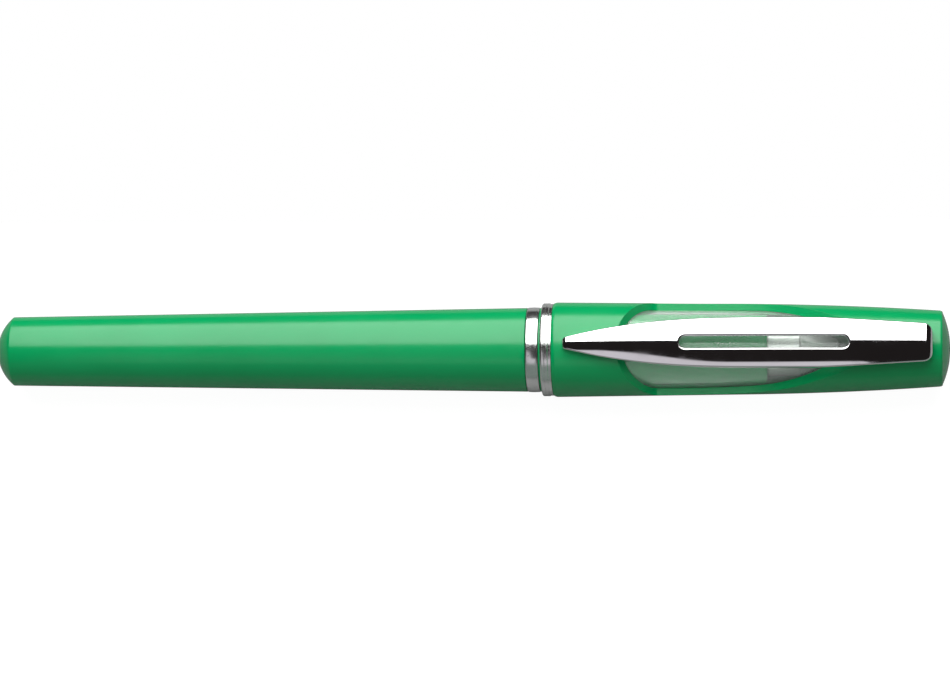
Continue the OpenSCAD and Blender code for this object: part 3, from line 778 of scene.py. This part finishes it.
def opened(x, radius):
    """Half angle, from the underside, that is left of a ring of this radius at x."""
    inside = window_stops[0] <= x <= window_stops[-1] and window_z(x) < radius
    return pi - acos(max(-1, min(1, window_z(x) / radius))) if inside else pi


def on_ring(x, radius, angle):
    """Point at an angle from the underside."""
    return x, radius * sin(angle), -radius * cos(angle)


def skin_patch(places, radius):
    """The shell's outer or inner skin, which stops at the window's edge."""
    def point(i, j):
        x = places[i]
        return on_ring(x, radius(x), opened(x, radius(x)) * (2 * j / (shell_columns - 1) - 1))
    return sheet_of("skin", len(places), shell_columns, point)


def cut_patch(side):
    """The polished wall of the window on one side, from the bore to the outside."""
    def point(i, j):
        x = cut_x[i]
        z = window_z(x)
        far = sqrt(max(0, cap_r(x) ** 2 - z ** 2))
        near = sqrt(max(0, bore_r(x) ** 2 - z ** 2))
        return x, side * run(j, 0, near, cut_columns - 1, far), z
    return sheet_of("cut", len(cut_x), cut_columns, point)


def ring_patch(outline):
    """A patch turned from an outline of (x, radius), on the same columns as the skins."""
    def point(i, j):
        return on_ring(*outline[i], pi * (2 * j / (shell_columns - 1) - 1))
    return sheet_of("ring", len(outline), shell_columns, point)


gate_r = 0.6
gate_out = 0.22
corner_r = cap_tail_r - cap_round
tail_edge = asin(corner_r / cap_dome_r)
dome_x = cap_corner_x - cap_dome_r * cos(tail_edge)
gate_edge = asin(gate_r / cap_dome_r)
gate_x = dome_x + cap_dome_r * cos(gate_edge) + gate_out
tail = (arc(cap_corner_x - cap_round, corner_r, cap_round, 90, 0, 4)
        + arc(dome_x, 0, cap_dome_r, degrees(tail_edge), degrees(gate_edge), 8)[1:]
        + arc(gate_x - gate_out, gate_r - gate_out, gate_out, 90, 0, 4)[1:] + [(gate_x, 0)])
front_bore_r = bore_r(bore_x[0])
shell_front_x = cap_mouth_x - shell_spigot_len
front = ([(bore_x[0], front_bore_r), (shell_front_x, front_bore_r),
          (shell_front_x, shell_spigot_r), (cap_mouth_x, shell_spigot_r)]
         + arc(edge_x, cap_r(edge_x) - shell_edge_r, shell_edge_r, shell_edge_from, 90, 4))
back_wall = [(bore_x[-1], bore_r(bore_x[-1])), (bore_end_x, bore_r(bore_end_x)), (bore_end_x, 0)]
cap = welded([skin_patch(shell_x, cap_r), skin_patch(bore_x, bore_r), cut_patch(1), cut_patch(-1),
              ring_patch(tail), ring_patch(front), ring_patch(back_wall)], "cap_moulding")
edged(cap, cap_edge)


def block(name, low, high):
    """A cube primitive stretched between two corners in mm."""
    bpy.ops.object.select_all(action="DESELECT")
    centre = [(a + b) / 2 * MM for a, b in zip(low, high)]
    bpy.ops.mesh.primitive_cube_add(size=1, location=centre)
    piece = bpy.context.object
    piece.name = name
    piece.scale = [(b - a) * MM for a, b in zip(low, high)]
    bpy.ops.object.transform_apply(location=True, rotation=True, scale=True)
    return piece


def worked(piece, tool, operation):
    """Cuts a tool's shape out of a piece, or adds it to the piece."""
    activate(piece)
    step = piece.modifiers.new("work", "BOOLEAN")
    step.operation = operation
    step.solver = "EXACT"
    step.object = tool
    bpy.ops.object.modifier_apply(modifier="work")
    bpy.data.objects.remove(tool)
    bpy.ops.object.shade_smooth_by_angle(angle=radians(smooth_below))


tab_w = 2.5
tab_t = 1.0
tab_gap = 0.3
hook_z = 3.0
hook_len = 0.8
clip_foot_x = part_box("clip")[1][0] / MM - 4.8
tab_x = clip_foot_x + 0.6
hook_end_x = tab_x + tab_t + hook_len
hook_hole = block("hook_hole", (tab_x - tab_gap, -tab_w / 2 - tab_gap, hook_z - tab_gap),
                  (hook_end_x + tab_gap, tab_w / 2 + tab_gap, cap_mouth_r + 1))
worked(cap, hook_hole, "DIFFERENCE")
fitted(cap, green_plastic, "cap", "body_green", "cap_shell")


# ---------------------------------------------------------------- clip
# Arched, pierced clip of bright chromed steel. Its back is crowned like the
# cap under it, its tip ends in a pad, and a tab under its foot hooks into the cap.
bright_chrome = finish("bright_chrome", (0.87, 0.87, 0.88), (0.80, 0.79, 0.80), (0.03, 0.07),
                       grain=(2600, 1.5e-7), lines=(2500, (0.03, 1, 1), 1.5e-7), Metallic=1.0)

clip_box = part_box("clip")
clip_tip_x = clip_box[0][0] / MM
clip_end_x = clip_box[1][0] / MM
clip_crest = clip_box[1][2] / MM
clip_w = 2 * clip_box[1][1] / MM
clip_tip_w = 1.5
clip_root_w = 5.4
clip_t = 1.0
clip_back_r = 392
clip_crest_x = clip_end_x - 26
clip_wide_to_x = clip_end_x - 16
clip_wide_from_x = clip_wide_to_x - 8.5
clip_edge = 0.08
clip_swell = 2.6
clip_narrowing = 1.1
clip_tip_corner = 0.45
clip_corner = 1.3
clip_rear_round = 1.1
side_round = 0.18
slot_w = 1.7
slot_round = 0.32
slot_rear_x = clip_end_x - 12.1
slot_front_x = slot_rear_x - 24.25
pad_end_x = clip_tip_x + 2.4
under_x = pad_end_x + 2.4
foot_curve_x = clip_foot_x - 1.6
rest_gap = 0.05
tip_share = 0.75
rim_share = 0.6
hook_t = 0.7
tab_in_clip = 0.4


def clip_arch(x):
    """Height of the clip's long arch at x."""
    return clip_crest - (x - clip_crest_x) ** 2 / (2 * clip_back_r)


tip_round = tip_share * (clip_arch(clip_tip_x) - cap_r(clip_tip_x) - rest_gap)
clip_front_x = clip_tip_x + tip_round
clip_rear_x = clip_end_x - clip_rear_round


def rounded_off(radius, past):
    """How far a corner of this radius has drawn in, at a distance past its start."""
    return radius - sqrt(max(0, radius ** 2 - max(0, past) ** 2))


def clip_back(x):
    """Height of the clip's back at x, turned down at the tip and at the root."""
    if x < clip_front_x:
        return clip_arch(clip_front_x) - rounded_off(tip_round, clip_front_x - x)
    if x > clip_rear_x:
        return clip_arch(clip_rear_x) - rounded_off(clip_rear_round, x - clip_rear_x)
    return clip_arch(x)


def clip_under(x):
    """Height of its underside: pad, hollow, then the foot on the cap."""
    if pad_end_x < x < under_x:
        return run(x, pad_end_x, cap_r(pad_end_x) + rest_gap, under_x, clip_arch(under_x) - clip_t)
    if under_x <= x < foot_curve_x:
        return clip_arch(x) - clip_t
    if foot_curve_x <= x < clip_foot_x:
        return run(x, foot_curve_x, clip_arch(foot_curve_x) - clip_t,
                   clip_foot_x, cap_r(clip_foot_x) + rest_gap)
    return cap_r(x) + rest_gap


def clip_half_w(x):
    """Half width: a quick swell from the tip, a slow narrowing, and rounded corners."""
    if x < clip_wide_from_x:
        share = (clip_wide_from_x - x) / (clip_wide_from_x - clip_tip_x)
        wide = clip_w / 2 - (clip_w - clip_tip_w) / 2 * share ** clip_swell
        return wide - rounded_off(clip_tip_corner, clip_tip_x + clip_tip_corner - x)
    share = max(0, x - clip_wide_to_x) / (clip_end_x - clip_wide_to_x)
    wide = clip_w / 2 - (clip_w - clip_root_w) / 2 * share ** clip_narrowing
    return wide - rounded_off(clip_corner, x - clip_end_x + clip_corner)


def slot_half_w(x):
    """Half width of the opening at x, round at both ends."""
    if not slot_front_x < x < slot_rear_x:
        return 0
    from_end = min(x - slot_front_x, slot_rear_x - x, slot_w / 2)
    return sqrt(max(0, (slot_w / 2) ** 2 - (slot_w / 2 - from_end) ** 2))


def rim_drop(x, y):
    """How far the rounded rims of the opening and of the sides lie below the back."""
    slot_straight = (slot_rear_x - slot_front_x - slot_w) / 2
    past_straight = abs(x - (slot_front_x + slot_rear_x) / 2) - slot_straight
    from_slot = hypot(max(0, past_straight), y) - slot_w / 2
    drop = (rounded_off(slot_round, slot_round - from_slot)
            + rounded_off(side_round, side_round - clip_half_w(x) + y))
    return min(drop, rim_share * (clip_back(x) - clip_under(x)))


tip_rows = 12
rear_rows = 14
rim_steps = 7
across = 20
clip_stops = (clip_front_x, pad_end_x, under_x, slot_front_x - slot_round, slot_front_x,
              slot_front_x + slot_w / 2, slot_rear_x - slot_w / 2, slot_rear_x,
              slot_rear_x + slot_round, foot_curve_x, clip_foot_x, clip_rear_x)
clip_rows = (6, 6, 14, 6, 10, 36, 10, 6, 10, 5, 6)
clip_x = [clip_front_x - tip_round * cos(pi / 2 * i / tip_rows) for i in range(tip_rows)]
for a, b, steps in zip(clip_stops, clip_stops[1:], clip_rows):
    clip_x += eased(a, b, steps)[:-1]
clip_x += [clip_rear_x + clip_rear_round * sin(pi / 2 * i / rear_rows)
           for i in range(rear_rows + 1)]


def clip_y(x, k):
    """Column k of one half, from the opening to the side: a rim, the back, a rim."""
    inner, outer = slot_half_w(x), clip_half_w(x)
    rim_end = min(slot_w / 2 + slot_round, outer / 2)
    side_start = min(side_round, outer / 3)
    if k <= rim_steps:
        return inner + (rim_end - inner) * (1 - cos(pi / 2 * k / rim_steps))
    if k >= across - rim_steps:
        return outer - side_start * (1 - cos(pi / 2 * (across - k) / rim_steps))
    return run(k, rim_steps, rim_end, across - rim_steps, outer - side_start)


def clip_point(i, j):
    """Row i runs along the clip, column j round one half of its section and back to its start."""
    x = clip_x[i]
    j %= 2 * across + 2
    on_top = j <= across
    y = clip_y(x, j if on_top else 2 * across + 1 - j)
    if on_top:
        return x, y, sqrt(max(0, clip_back(x) ** 2 - y ** 2)) - rim_drop(x, y)
    return x, y, sqrt(max(0, clip_under(x) ** 2 - y ** 2))


half = sheet_of("clip_half", len(clip_x), 2 * across + 3, clip_point)
activate(half)
bpy.ops.object.mode_set(mode="EDIT")
bpy.ops.mesh.select_all(action="SELECT")
bpy.ops.mesh.remove_doubles(threshold=1e-6)
bpy.ops.mesh.select_all(action="DESELECT")
bpy.ops.object.mode_set(mode="OBJECT")
for face in half.data.polygons:
    face.select = all(abs(half.data.vertices[v].co.y) < 1e-7 for v in face.vertices)
bpy.ops.object.mode_set(mode="EDIT")
bpy.ops.mesh.select_mode(type="FACE")
bpy.ops.mesh.delete(type="FACE")
bpy.ops.object.mode_set(mode="OBJECT")
mirror = half.modifiers.new("other_side", "MIRROR")
mirror.use_axis = (False, True, False)
mirror.merge_threshold = 1e-6
bpy.ops.object.modifier_apply(modifier="other_side")
clip = welded([half], "arched_clip")
edged(clip, clip_edge, 2, 40)

tab = block("tab", (tab_x, -tab_w / 2, hook_z),
            (tab_x + tab_t, tab_w / 2, cap_r(clip_foot_x) + tab_in_clip))
hook = block("hook", (tab_x + tab_t / 2, -tab_w / 2, hook_z),
             (hook_end_x, tab_w / 2, hook_z + hook_t))
worked(tab, hook, "UNION")
edged(tab, clip_edge, 2, 40)
worked(clip, tab, "UNION")
fitted(clip, bright_chrome, "pocket_clip", "bright_chrome", "clip")


# ---------------------------------------------------------------- clip retainer
# Plain green moulding inside the cap's closed end. The clip's hook catches
# behind it, and it stays hidden once the inner cap is in.
retainer_green = finish("retainer_green", (0.0, 0.150, 0.050), (0.0, 0.125, 0.042), (0.35, 0.45),
                        grain=(3000, 2e-6))
surfaced("clip_retainer", retainer_green)
